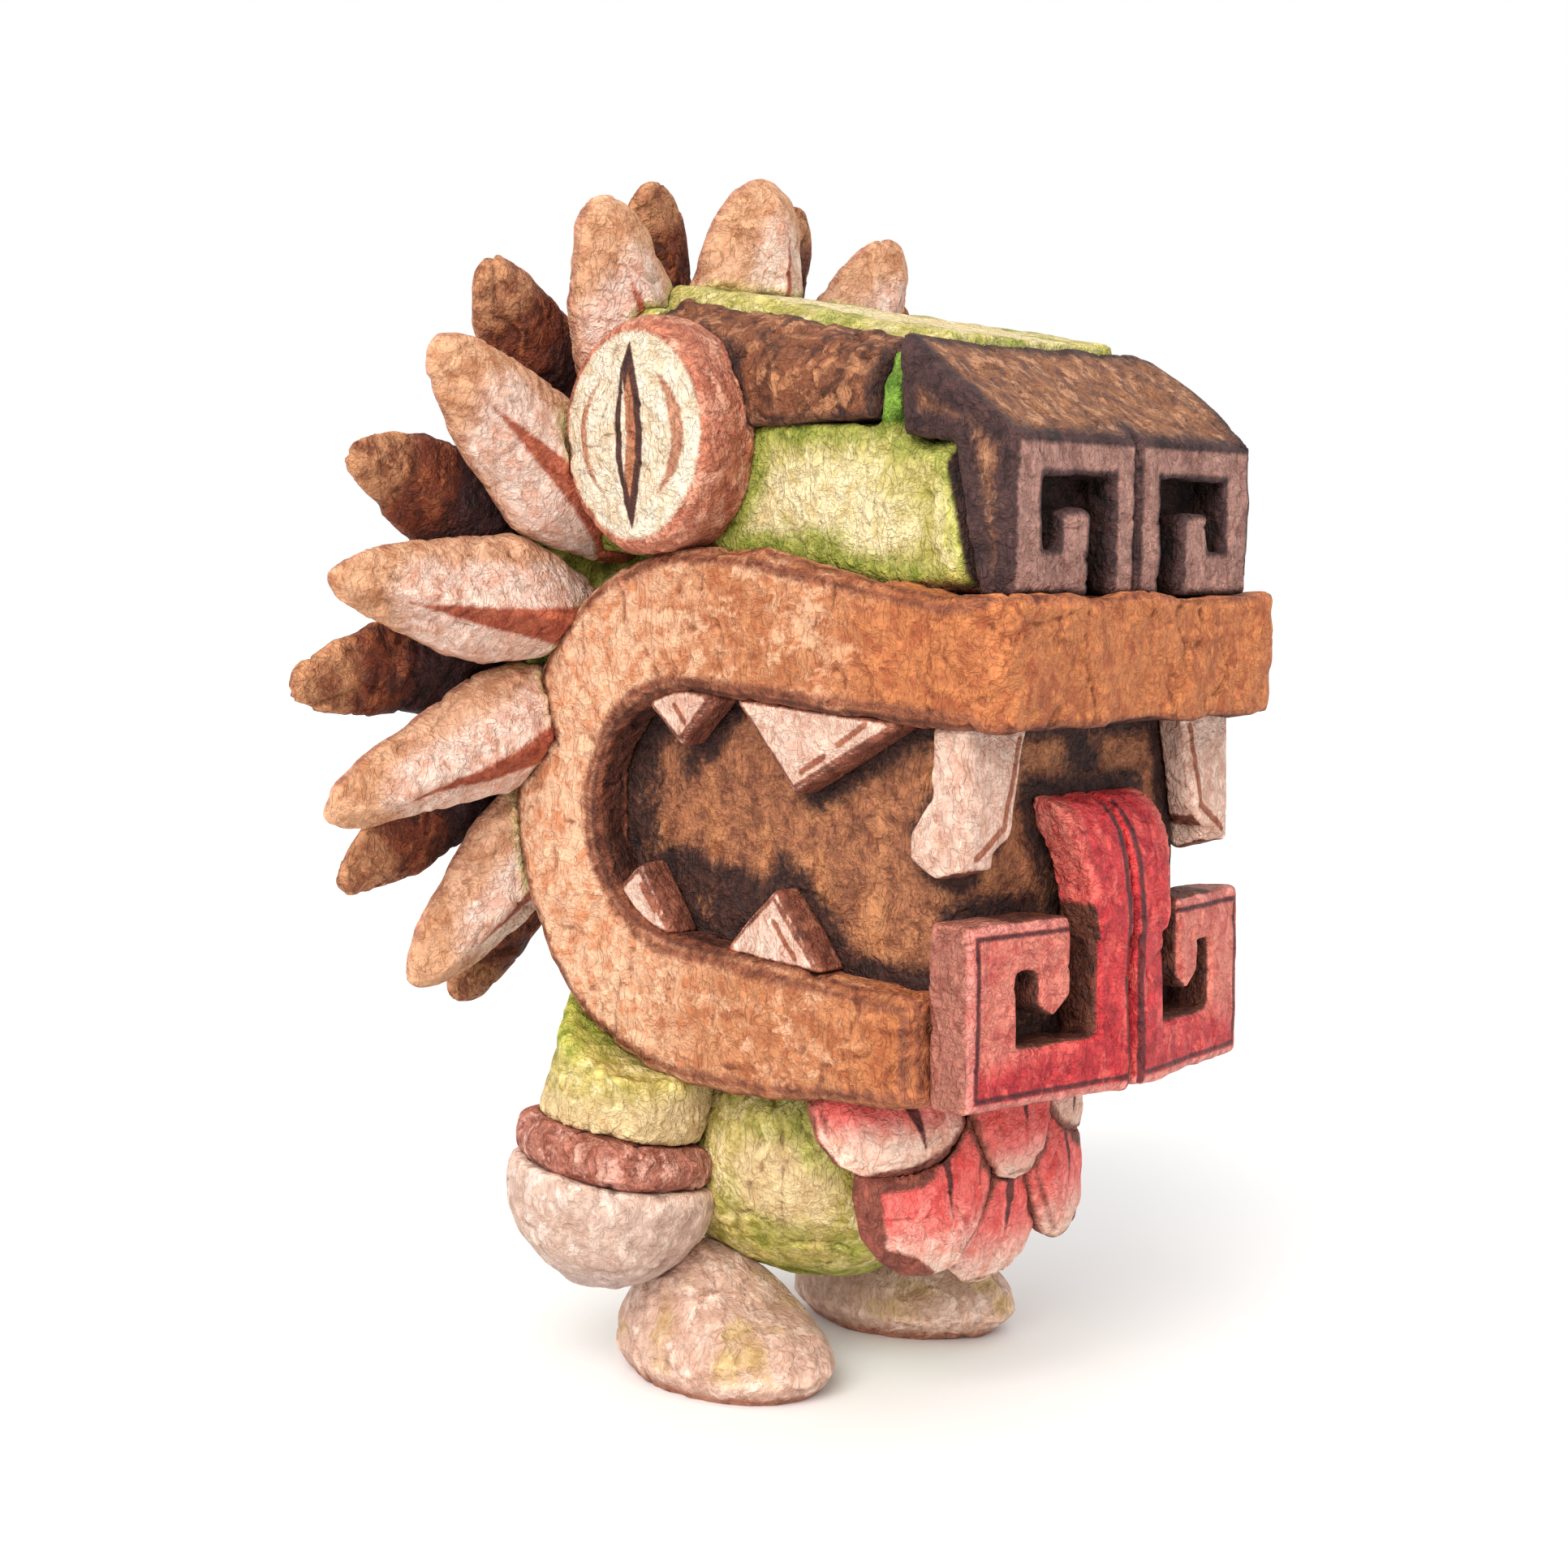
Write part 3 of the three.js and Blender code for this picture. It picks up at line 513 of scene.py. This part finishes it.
MATERIALS = {
    "band": paper(
        "band_paper", ("b4683f", "cf8a5e", "efba94"),
        [
            ("sunny", "d78c62", "f4c29e", 26.0, 8.0),
            # Painted shade: the front of the band, darker than its rear.
            ("front", "ab5a34", "cf7f4c", 16.0, 6.0),
            # Painted shade on the wall round the mouth and under the upper lip.
            ("inner", "3b1f18", "643627", 1.2, 0.6),
            ("rim", "6b3626", "96573c", 1.3, 0.9),
        ],
        grit=0.6, level=True,
    ),
    "core": paper(
        "core_paper", ("b6ab50", "dacb7c", "f0dfa6"),
        [
            ("cream", "e6cb8c", "fbe8b8", 7.0, 3.0),
            ("moss", "84902f", "b4b455", 3.2, 2.4),
            ("sprig", "567a1e", "7da038", 0.8, 0.5),
            ("mouth", "7c4832", "b67550", 1.0, 0.3),
            ("flecks", "9c5833", "cf8c5e", 3.0, 2.6),
            # Painted shade in the mouth around the teeth, lips and other pieces, with near-black
            # blotches.
            ("soot", "2b1a19", "4a2b23", 2.4, 2.2),
            ("pocket", "1c100f", "3a201a", 1.0, 0.4),
        ],
    ),
    "brow": paper(
        "brow_paper", ("57301f", "8f5436", "cb8c62"),
        [("rim", "33201f", "5a382d", 1.6, 1.0)],
    ),
    "nose": paper(
        "nose_paper", ("744838", "a66d48", "d49a72"),
        [
            ("smoke", "352122", "4f3432", 3.0, 2.0),
            ("relief", "8f6257", "b8897c", 0.7, 0.45),
            ("pocket", "1c100f", "3a201a", 0.7, 0.3),
            ("line", "2f1c1b", "4a2d29", 0.4, 0.25),
        ],
    ),
    "eye": paper(
        "eye_paper", ("ae5f48", "d08264", "eeb094"),
        [
            ("face", "ecd0ac", "fff0d8", 0.8, 0.5),
            ("arcs", "a9674e", "cf9474", 0.7, 0.5),
            ("slit", "3d2320", "5b362e", 0.4, 0.25),
            ("glint", "a2563c", "c9875f", 0.35, 0.2),
            ("gleam", "f0d3b4", "fff0d9", 0.3, 0.15),
        ],
        fibre=0.35,
    ),
    "tooth": paper(
        "tooth_paper", ("6b3a2c", "8c4f3c", "aa6a50"),
        [("face", "d6a38c", "efcab7", 0.6, 0.35), ("dash", "8f4a36", "ad6a4e", 0.35, 0.2)],
        fibre=0.35, grit=0.6,
    ),
    "tongue": paper(
        "tongue_paper", ("b2232e", "dd3f43", "f4665e"),
        [
            ("pink", "cf5d53", "ec8a78", 5.0, 2.0),
            ("border", "cd6f66", "e99286", 0.7, 0.4),
            ("side", "9c5647", "bd7866", 1.0, 0.6),
            ("pit", "4a2620", "74402f", 1.0, 0.6),
            ("line", "4d1a20", "6d2a2c", 0.4, 0.2),
        ],
        fibre=0.3, rough=0.48,
    ),
    "light": paper(
        "light_feather_paper", ("d3967a", "f0bea2", "ffdcc6"),
        [
            ("face", "e9b198", "fadccc", 1.6, 1.0),
            # Painted shade: the upper facet of each light feather, a darker tan.
            ("tan", "c68a66", "e8b492", 2.4, 1.6),
            ("tip", "bf8058", "e4ad86", 5.0, 2.6),
            ("moss", "b5a55c", "d6c888", 2.6, 1.6),
            ("wedge", "9a4532", "c0694c", 0.7, 0.45),
            ("rim", "b0735a", "d09a7a", 0.7, 0.5),
        ],
        fibre=0.4, grit=0.5, washed=0.5,
    ),
    "dark": paper(
        "dark_feather_paper", ("522618", "823f29", "b2663f"),
        # The first stroke is painted shade, darkening each dark feather towards its root, in
        # blotches.
        [("soot", "281617", "48292a", 5.0, 4.5), ("tip", "8f5236", "c48a62", 4.0, 2.6)],
        fibre=0.6,
    ),
    "body": paper(
        "body_paper", ("ad9b42", "dcc678", "f2dfa8"),
        [
            ("moss", "8a952f", "bdba58", 4.0, 3.0),
            ("cream", "d3b17c", "e8cd9a", 5.0, 3.0),
            ("rust", "7c4636", "a56650", 0.9, 0.6),
        ],
        grit=0.5,
    ),
    "cuff": paper(
        "cuff_paper", ("95503c", "c07a66", "f0b6a2"), [("rim", "7c4030", "9a5947", 1.5, 1.0)]
    ),
    "hand": paper(
        "hand_paper", ("c6a28f", "dab9a7", "ecd3c5"),
        [("shade", "bda199", "d4bcb1", 6.0, 3.0)], fibre=0.2, washed=0.4, grit=0.15,
    ),
    "foot": paper(
        "foot_paper", ("cda089", "e2baa5", "f4d6c5"),
        [("ochre", "c29a62", "dcba86", 5.0, 3.0), ("rim", "9c6048", "bd826a", 1.4, 1.0)],
        fibre=0.25, washed=0.45, grit=0.2,
    ),
    "petal": paper(
        "petal_paper", ("ea655e", "ff8a80", "ffb0a2"),
        [
            ("red", "f05450", "ff766e", 6.0, 2.4),
            ("peach", "f2b69c", "fcd8c4", 5.0, 2.4),
            ("back", "7a4034", "9e5d4c", 1.0, 0.6),
            ("rim", "70392d", "945040", 0.8, 0.5),
            ("slit", "5a2a29", "763b36", 0.4, 0.3),
        ],
        fibre=0.3, grit=0.6,
    ),
}


def wood():
    """Bare wood for the peg, with the grain running up it."""
    nodes = Nodes("bare_wood")
    place = nodes.add("ShaderNodeTexCoord", output="Object")
    grain = nodes.noise(nodes.moved(place, (900.0, 900.0, 60.0)), 1.0, 4.0, 0.6)
    tint = nodes.mix(nodes.between(grain, 0.35, 0.65), colour("a57a4c"), colour("d9b483"))
    bump = nodes.add("ShaderNodeBump", {"Height": grain, "Strength": 0.4, "Distance": 0.0002})
    shader = nodes.add(
        "ShaderNodeBsdfPrincipled", {"Base Color": tint, "Roughness": 0.7, "Normal": bump}
    )
    return nodes.surface(shader)


# ---- Paint, family by family ----
# Each painter gets the node's name, its points p in the modelling axes, their normals n, and each
# point's distance e from a sharp edge and c from another piece. It returns signed distances in
# millimetres, above 0 where that paint lies.
NOWHERE = -9.0


def inside_all(*distances):
    """Signed distance into the place that all the given ones share."""
    return np.minimum.reduce(distances)


def inside_any(*distances):
    """Signed distance into the place that the given ones cover together."""
    return np.maximum.reduce(distances)


def facing(part, least, sharpness=4.0):
    """Signed distance into the surface whose normal has more than least of one direction."""
    return (part - least) * sharpness


def oval_patch(a, b, radius, stretch_a=1.0, stretch_b=1.0):
    """Signed distance into an oval patch. A stretch makes it that many times longer."""
    return radius - np.hypot(a / stretch_a, b / stretch_b)


def blotches(p, size, octaves, seed, strength, less):
    """Signed distance into random blotches. The higher less is, the fewer there are."""
    return strength * fractal(p, size, octaves, seed) - less


def segment_distance(a, b, start, end):
    """Distance in a plane of the points (a, b) from the segment between start and end."""
    (a0, b0), (a1, b1) = start, end
    da, db = a1 - a0, b1 - b0
    t = np.clip(((a - a0) * da + (b - b0) * db) / (da * da + db * db), 0, 1)
    return np.hypot(a - a0 - t * da, b - b0 - t * db)


def taper(a, b, start, end, wide):
    """Signed distance into a stroke that is wide at its start and a point at its end."""
    (a0, b0), (a1, b1) = start, end
    length = math.hypot(a1 - a0, b1 - b0)
    ua, ub = (a1 - a0) / length, (b1 - b0) / length
    along = (a - a0) * ua + (b - b0) * ub
    off = np.abs((b - b0) * ua - (a - a0) * ub)
    return np.minimum(wide * (1 - along / length) - off, along + 1.0)


def paint_band(name, p, n, e, c):
    y, z = p[:, 1], p[:, 2]
    wall_share = 0.8  # of the loop's outer radii: the wall round the mouth lies within it
    lips_middle = 90.0
    # The band is painted darker towards its front: painted shade on the front of the lips.
    sunny_from, front_to = -4.0, -36.0
    across, up = y - LOOP_Y, z - LOOP_Z
    # Painted shade where the wall round the mouth faces inward and where the upper lip faces down.
    inward = -(n[:, 1] * across + n[:, 2] * up) / np.hypot(across, up)
    wall = np.hypot(across / LOOP_RY, up / LOOP_RZ) < wall_share
    under = (n[:, 2] < -0.5) & (z > lips_middle)
    turned = np.where(wall | under, np.maximum(inward, -n[:, 2] * under), -0.4)
    return {
        "inner": facing(turned, 0.6, 5.0),
        "rim": inside_any(0.7 - e, 0.8 - c),
        "sunny": y - sunny_from,
        # Painted shade, darker towards the front of the band.
        "front": front_to - y,
    }


def paint_core(name, p, n, e, c):
    x, y, z = np.abs(p[:, 0]), p[:, 1], p[:, 2]
    wall_x = 33.0
    crown_z, back_y = 139.0, 30.0
    brow_end_y, brow_inner_x, brow_bottom_z = -38.6, 20.3, 133.6
    nose_back_y, nose_top_z = -40.0, 131.0
    loop = (1 - np.hypot((y - LOOP_Y) / LOOP_RY, (z - LOOP_Z) / LOOP_RZ)) * LOOP_RY
    mouth = np.where(y < LOOP_Y, LIP_TOP + 1.5 - z, loop)
    mouth = inside_all(mouth, wall_x - x)
    cream = oval_patch(y + 25, z - 120.5, 9, 1.7)
    cream = np.where(z > crown_z, oval_patch(x, y + 18, 12, 1.2, 2.2), cream)
    cream = np.where(y > back_y, oval_patch(x, z - 104, 8, 2.4, 2.4), cream)
    beside = np.where(z > crown_z, 0.2, 2.8) - c
    behind_nose = inside_all(nose_back_y - y, z - LIP_TOP - 0.5, nose_top_z - z)
    return {
        "mouth": mouth,
        "cream": cream,
        "moss": inside_any(beside, blotches(p, 7.0, 3, 44, 4.0, 2.2)),
        "sprig": inside_all(2.4 - np.abs(y - brow_end_y), z - brow_bottom_z, x - brow_inner_x),
        "flecks": inside_all(blotches(p, 5.0, 2, 91, 4.0, 1.6), mouth),
        "pocket": inside_all(facing(-n[:, 1], 0.5), behind_nose),
        # Painted shade near the other pieces inside the mouth, with near-black blotches.
        "soot": inside_all(inside_any(2.9 - c, blotches(p, 9.0, 2, 77, 4.0, 2.6)), mouth),
    }


def paint_brow(name, p, n, e, c):
    return {"rim": inside_any(0.9 - e, 1.0 - c)}


def paint_nose(name, p, n, e, c):
    x, y, z = np.abs(p[:, 0]), p[:, 1], p[:, 2]
    fret_depth, fret_top = 1.6, 131.0
    pocket_from, pocket_to, pocket_top = 4.6, 22.0, 128.0
    front = NOSE_FRONT + fret_depth - y
    sunk = inside_all(y - NOSE_FRONT - 1.1, pocket_to - x, x - pocket_from, pocket_top - z)
    edge_wash = np.where(np.abs(n[:, 0]) > 0.6, 3.2, 2.0)  # wider on the two sides
    return {
        "smoke": inside_any(edge_wash - e, 1.6 - c),
        "relief": inside_all(front, facing(-n[:, 1], 0.55, 3.0), fret_top - z, e - 0.7),
        "pocket": sunk,
        "line": inside_all(0.5 - x, front + 1),
    }


def paint_eye(name, p, n, e, c):
    dy, dz = p[:, 1] - EYE_Y, p[:, 2] - EYE_Z
    face_x, rim_width = 35.2, 1.3
    arc_radius, front_arc, rear_arc, arc_spread = 9.8, 1.25, 0.8, 1.4

    def lens(a, b, wide, tall):
        return wide * (1 - (b / tall) ** 2) - np.abs(a)

    r = np.hypot(dy / EYE_RY, dz / EYE_RZ) * EYE_RZ
    swing = np.arctan2(np.abs(dz), np.abs(dy))
    thick = np.where(dy < 0, front_arc, rear_arc) * np.cos(np.clip(swing * arc_spread, 0, 1.57))
    outside = np.abs(p[:, 0]) - face_x
    return {
        "face": inside_all(outside, EYE_RZ - rim_width - r),
        "arcs": inside_all(thick - np.abs(r - arc_radius) - 0.1, outside),
        "slit": inside_all(lens(dy, dz, 2.5, 12.6), outside),
        "glint": inside_all(lens(dy, dz, 1.25, 8.5), outside),
        "gleam": inside_all(lens(dy - 0.9, dz - 1, 0.45, 7.0), outside),
    }


# The brown lines on the teeth: from the side (y, z), and on a fang from the front (x, z).
DASHES = {
    "upper_rear_tooth": [((-3.6, 96.6), (-5.4, 94.4))],
    "upper_front_tooth": [((-37.6, 95.2), (-33.0, 92.4)), ((-30.6, 90.8), (-26.6, 88.6))],
    "lower_rear_tooth": [((3.0, 71.4), (0.4, 68.0))],
    "lower_front_tooth": [((-21.8, 68.4), (-25.4, 63.8))],
    "fang": [((19.6, 93.5), (22.8, 82.2)), ((22.8, 82.2), (28.2, 78.7))],
}


def paint_tooth(name, p, n, e, c):
    kind = name.rsplit("_", 1)[0]
    x, y, z = np.abs(p[:, 0]), p[:, 1], p[:, 2]
    fang = kind == "fang"
    fang_side = 30.4
    across = x if fang else y
    off = np.min([segment_distance(across, z, *ends) for ends in DASHES[kind]], axis=0)
    if fang:
        out = facing(np.maximum(x / fang_side * np.abs(n[:, 0]), -n[:, 1]), 0.55)
        dash = inside_all(0.5 - off, facing(-n[:, 1], 0.6))
        e = e + 1.2  # the cream paint runs over a fang's edges
    else:
        out = facing(np.abs(n[:, 0]), 0.66)
        dash = 0.45 - off
    return {"face": inside_all(out, 2 * (e - 0.35)), "dash": inside_all(dash, out)}


def paint_tongue(name, p, n, e, c):
    x, z = np.abs(p[:, 0]), p[:, 2]
    side_x, bottom_z, hook_top_z, hook_from_x = 31.2, 46.4, 70.4, 12.2
    hollow_x, hollow_z = (6.8, 23.2), (53.2, 71.5)
    line_inset = 1.7
    front = facing(-n[:, 1], 0.55)
    hollow = inside_all(x - hollow_x[0], hollow_x[1] - x, z - hollow_z[0], hollow_z[1] - z)
    hook_top = np.where(x > hook_from_x, hook_top_z - z, 9.0)
    border = inside_all(side_x - x, z - bottom_z, hook_top)
    outline = inside_any(0.36 - np.abs(border - line_inset), 0.5 - np.abs(x - line_inset))
    return {
        "pink": inside_all(x - 9.5, z - 55.5 + (x - 10) * 0.2),
        "border": 1.2 - border,
        "side": inside_all(-front, x - 15) + 0.2,
        "pit": inside_all(-front, hollow) + 0.2,
        "line": inside_all(outline, front),
    }


def ring_axes(p, name):
    """Radius and sideways offset of each point, for one feather of the ruff."""
    number = 0 if name.endswith("top") else int(name.rsplit("_", 1)[1])
    sign = 1 if "_left" in name else -1
    steps = number - (0.5 if name.startswith("dark") else 0.0)
    angle = math.radians(sign * steps * FEATHER_STEP)
    q = p - RUFF_CENTRE
    up = q[:, 2] * math.cos(RUFF_LEAN) - q[:, 1] * math.sin(RUFF_LEAN)
    along = q[:, 0] * math.sin(angle) + up * math.cos(angle)
    aside = q[:, 0] * math.cos(angle) - up * math.sin(angle)
    return along, aside


def paint_light(name, p, n, e, c):
    along, aside = ring_axes(p, name)
    wedge_wide, wedge_share, wedge_below = 3.9, 0.8, 1.5
    tan_above, tip_from = 7.6, 62.5
    forward = -(n[:, 1] * math.cos(RUFF_LEAN) + n[:, 2] * math.sin(RUFF_LEAN))
    share = (along - FEATHER_ROOT) / (FEATHER_TIP - FEATHER_ROOT)
    upper = aside if "_right" in name else -aside
    wedge = wedge_wide * (1 - share / wedge_share) - np.abs(upper + wedge_below)
    return {
        "face": facing(forward, 0.42, 5.0),
        # Painted shade on the feather's upper facet.
        "tan": upper - tan_above * (1 - 0.6 * share),
        "rim": inside_all(0.7 - e, facing(-np.abs(forward), -0.5)),
        "tip": along - tip_from + np.abs(aside) * 0.8,
        "moss": 0.9 - c,
        "wedge": inside_all(wedge, facing(forward, 0.3)),
    }


def paint_dark(name, p, n, e, c):
    along, _ = ring_axes(p, name)
    # Painted shade darkens each feather from its root outward, with blotchy edges.
    soot_to, tip_from = 51.0, 59.5
    return {"soot": soot_to - along + blotches(p, 7.0, 2, 5, 5.0, 0.0), "tip": along - tip_from}


def paint_body(name, p, n, e, c):
    y, z = p[:, 1], p[:, 2]
    if name.startswith("arm"):
        return {
            "moss": inside_any(z - 47.5, blotches(p, 6.0, 2, 8, 3.0, 2.5)),
            "cream": 42.5 - z,
            "rust": np.full(len(p), NOWHERE),
        }
    return {
        "moss": inside_any(blotches(p, 7.0, 2, 9, 3.0, 1.2), 17.5 - z),
        "cream": oval_patch(y + 14, z - 30, 7) + blotches(p, 5.0, 2, 3, 2.0, 0.0),
        "rust": inside_all(2.4 - c, -y - 20.0),
    }


def paint_cuff(name, p, n, e, c):
    return {"rim": 0.9 - c}


def paint_hand(name, p, n, e, c):
    shade_to = 18.5
    return {"shade": shade_to - p[:, 2]}


def paint_foot(name, p, n, e, c):
    sole_edge = 1.5
    spots = blotches(p, 5.5, 2, 61, 6.0, 3.4)
    return {"ochre": inside_all(spots, facing(n[:, 2], 0.0)), "rim": sole_edge - p[:, 2]}


# The slit of each kind of petal: its middle, top, point, lean and half width. Then how much paler
# the petal is, and how wide its brown outer edge is.
PETALS = {
    "breast_feather_top": (18.2, 47.0, 36.5, 4.6, 1.4, 4.5, 0.0),
    "breast_feather_middle": (13.4, 44.0, 26.0, 1.4, 1.2, 0.0, 1.9),
    "breast_feather_top_middle": (0.0, 47.0, 37.0, 0.0, 1.2, 0.0, 0.0),
    "breast_feather_bottom": (0.0, 33.0, 21.0, 0.0, 1.2, 0.0, 0.0),
}


def paint_petal(name, p, n, e, c):
    kind = name if name in PETALS else name.rsplit("_", 1)[0]
    middle, top, point, lean, wide, pale, outer = PETALS[kind]
    x, z = np.abs(p[:, 0]) if middle else p[:, 0], p[:, 2]
    low, high = z.min(), z.max()
    slit = taper(x, z, (middle + lean * 0.2, top), (middle - lean * 0.3, point), wide)
    share = (z - low) / (high - low)
    length = 14.0
    return {
        "red": (share - 0.36) * length - pale,
        "peach": (0.2 - share) * length + pale,
        "back": inside_any(facing(n[:, 1], -0.12), 0.9 - c),
        "slit": inside_all(slit, facing(-n[:, 1], 0.2)),
        "rim": 0.3 + outer * np.clip((x - middle) / 5, 0, 1) - e,
    }


PAINTERS = {
    "band": paint_band, "core": paint_core, "brow": paint_brow, "nose": paint_nose,
    "eye": paint_eye, "tooth": paint_tooth, "tongue": paint_tongue, "light": paint_light,
    "dark": paint_dark, "body": paint_body, "cuff": paint_cuff, "hand": paint_hand,
    "foot": paint_foot, "petal": paint_petal,
}

# Mesh size, rounding passes, puff and crumple of each family, in millimetres.
FORMS = {
    "core": (0.8, 5, 0.22, 0.9), "band": (0.6, 5, 0.22, 1.15), "brow": (0.55, 8, 0.25, 1.0),
    "nose": (0.5, 5, 0.18, 0.7), "eye": (0.5, 5, 0.2, 0.6), "tooth": (0.45, 4, 0.2, 0.45),
    "tongue": (0.5, 5, 0.18, 0.5), "light": (0.6, 5, 0.25, 1.0), "dark": (0.6, 5, 0.25, 1.3),
    "body": (0.7, 5, 0.25, 1.1), "cuff": (0.5, 5, 0.25, 1.0), "hand": (0.6, 4, 0.25, 0.8),
    "foot": (0.6, 4, 0.0, 0.8), "petal": (0.5, 5, 0.2, 0.8),
}


# How far a surface may rise towards another piece, in millimetres: a little where they touch, and
# then this share of the distance between them.
TOUCHING_ROOM, ROOM_SHARE = 0.15, 0.6


def make_piece(node, seed):
    """The painted paper piece that stands in for one CAD node."""
    slot = SLOT_OF[node]
    voxel, passes, puff, strength = FORMS[slot]
    piece = softened(node, voxel, passes)
    mesh = piece.data
    p, n = arrays(mesh)
    p /= MM
    e = edge_distance(p, node)
    c = contact_distance(p, node)
    local = p - np.array([0.0, SHIFT, 0.0])
    for attribute, values in PAINTERS[slot](node, local, n, e, c).items():
        store(mesh, attribute, values)
    room = TOUCHING_ROOM + ROOM_SHARE * c
    lift = np.minimum(puff + crumple(local, seed, strength), room)
    ground = CAD_BOX[0][2] / MM
    moved = p + n * lift[:, None]
    moved[:, 2] = np.maximum(moved[:, 2], ground)
    hollow = hollowness(mesh, moved, n)
    store(mesh, "hollow", hollow / hollow.std())
    mesh.vertices.foreach_set("co", (moved * MM).ravel())
    mesh.update()
    mesh.materials.append(MATERIALS[slot])
    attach(piece, "root")
    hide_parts(node)


for index, node_name in enumerate(sorted(NODES)):
    if node_name == "neck_peg":
        NODES[node_name].data.materials.clear()
        NODES[node_name].data.materials.append(wood())
    else:
        make_piece(node_name, 101 + 7 * index)


# ---- Stage ----
def make_floor():
    """A pale floor, wide enough to have no edge in view."""
    size = 12.0
    mesh = bpy.data.meshes.new("floor")
    mesh.from_pydata(
        [(-size, -size, 0), (size, -size, 0), (size, size, 0), (-size, size, 0)], [], [(0, 1, 2, 3)]
    )
    floor = bpy.data.objects.new("floor", mesh)
    bpy.context.scene.collection.objects.link(floor)
    nodes = Nodes("pale_floor")
    shader = nodes.add(
        "ShaderNodeBsdfPrincipled", {"Base Color": (0.9, 0.9, 0.9, 1.0), "Roughness": 0.9}
    )
    mesh.materials.append(nodes.surface(shader))


def make_sun(name, source, power, spread, tint):
    """A wide soft light from one direction, the same all over the floor."""
    data = bpy.data.lights.new(name, "SUN")
    data.energy = power
    data.angle = math.radians(spread)
    data.color = tint
    light = bpy.data.objects.new(name, data)
    light.location = AIM + Vector(source)
    light.rotation_euler = (-Vector(source)).to_track_quat("-Z", "Y").to_euler()
    bpy.context.scene.collection.objects.link(light)


make_floor()
make_sun("key", source=(-0.82, -0.34, 0.60), power=2.7, spread=40.0, tint=(1.0, 0.96, 0.91))
world = bpy.data.worlds.new("studio")
world.use_nodes = True
world.node_tree.nodes["Background"].inputs["Color"].default_value = (1.0, 1.0, 1.0, 1.0)
world.node_tree.nodes["Background"].inputs["Strength"].default_value = 1.0
bpy.context.scene.world = world
bpy.context.scene.view_settings.view_transform = "Standard"
